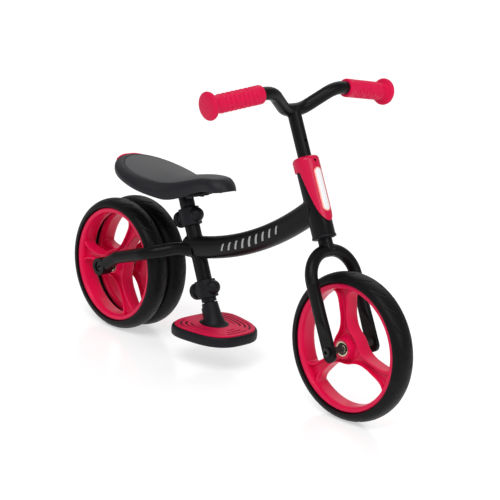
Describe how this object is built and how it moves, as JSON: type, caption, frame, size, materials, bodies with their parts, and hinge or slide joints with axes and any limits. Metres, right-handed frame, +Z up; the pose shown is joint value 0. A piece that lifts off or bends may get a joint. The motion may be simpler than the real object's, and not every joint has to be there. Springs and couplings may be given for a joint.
{
  "type": "balance bike",
  "caption": "Child's balance bike with a steered front wheel, close-set twin rear wheels, sliding seat and handlebar, and a footrest on its own post.",
  "frame": {"origin": "on the floor, midway between the axles and in the middle plane", "axes": "+X forward, +Y to the rider's left, +Z up"},
  "size_m": [0.718, 0.3632, 0.4652],
  "materials": {
    "black_paint": "satin black powder coat",
    "red_plastic": "satin crimson moulded nylon",
    "red_rubber": "soft crimson elastomer",
    "dark_plastic": "fine-textured blue-grey polypropylene",
    "pad_grey": "soft-touch grey elastomer skin",
    "tyre_black": "matt black foam-filled tyre",
    "white_plate": "white plate with a red border",
    "black_steel": "black oxide fastener",
    "bearing_steel": "turned bearing steel, faintly yellow",
    "axle_steel": "turned steel"
  },
  "bodies": {
    "frame": {"head_tube": "black_paint", "main_tube": "black_paint", "seat_tube": "black_paint", "chainstay_right": "black_paint", "chainstay_left": "black_paint", "upper_bush": "dark_plastic", "lower_bush": "dark_plastic", "head_cover": "red_plastic", "badge_plate": "white_plate", "seat_clamp": "dark_plastic", "foot_clamp": "dark_plastic", "seat_shim": "dark_plastic", "foot_shim": "dark_plastic", "rear_axle": "axle_steel", "rear_bolts": "black_steel", "rear_spacers": "dark_plastic"},
    "fork": {"steerer_tube": "black_paint", "fork_arch": "black_paint", "lock_collar": "dark_plastic", "height_screw": "black_steel", "crown_washer": "dark_plastic", "front_axle": "axle_steel", "front_bolts": "black_steel", "front_spacers": "dark_plastic"},
    "front_wheel": {"front_rim": "red_plastic", "front_tyre": "tyre_black", "front_bearings": "bearing_steel"},
    "rear_right_wheel": {"rear_right_rim": "red_plastic", "rear_right_tyre": "tyre_black", "rear_right_bearings": "bearing_steel"},
    "rear_left_wheel": {"rear_left_rim": "red_plastic", "rear_left_tyre": "tyre_black", "rear_left_bearings": "bearing_steel"},
    "handlebar": {"handlebar_stem": "black_paint", "handlebar_bar": "black_paint", "grip_right": "red_rubber", "grip_left": "red_rubber"},
    "seat": {"seat_post": "black_paint", "seat_bracket": "black_paint", "seat_shell": "dark_plastic", "seat_pad": "pad_grey", "tail_trim": "red_plastic", "seat_screws": "black_steel"},
    "footrest": {"foot_post": "black_paint", "foot_socket": "dark_plastic", "foot_base": "dark_plastic", "foot_tread": "red_rubber", "foot_screw": "black_steel"},
    "seat_knob": {"seat_knob": "dark_plastic"},
    "foot_knob": {"foot_knob": "dark_plastic"}
  },
  "joints": [
    {"name": "steering", "type": "hinge", "parent": "frame", "child": "fork", "pos_m": [0.251, 0, 0.108], "axis": [-0.4337, 0, 0.9011], "range_deg": [-60, 60]},
    {"name": "front_wheel_spin", "type": "hinge", "parent": "fork", "child": "front_wheel", "pos_m": [0.251, 0, 0.108], "axis": [0, 1, 0], "continuous": true},
    {"name": "rear_right_wheel_spin", "type": "hinge", "parent": "frame", "child": "rear_right_wheel", "pos_m": [-0.251, -0.02, 0.108], "axis": [0, 1, 0], "continuous": true},
    {"name": "rear_left_wheel_spin", "type": "hinge", "parent": "frame", "child": "rear_left_wheel", "pos_m": [-0.251, 0.02, 0.108], "axis": [0, 1, 0], "continuous": true},
    {"name": "handlebar_height", "type": "slide", "parent": "fork", "child": "handlebar", "axis": [-0.4337, 0, 0.9011], "range_m": [-0.031, 0.031]},
    {"name": "seat_height", "type": "slide", "parent": "frame", "child": "seat", "axis": [-0.4179, 0, 0.9085], "range_m": [0, 0.06]},
    {"name": "footrest_height", "type": "slide", "parent": "frame", "child": "footrest", "axis": [-0.4179, 0, 0.9085], "range_m": [-0.03, 0]},
    {"name": "seat_knob_turn", "type": "hinge", "parent": "frame", "child": "seat_knob", "pos_m": [-0.1071, 0, 0.21688], "axis": [0.9085, 0, 0.4179], "range_deg": [-180, 0]},
    {"name": "foot_knob_turn", "type": "hinge", "parent": "frame", "child": "foot_knob", "pos_m": [-0.05863, 0, 0.11149], "axis": [0.9085, 0, 0.4179], "range_deg": [-180, 0]}
  ]
}
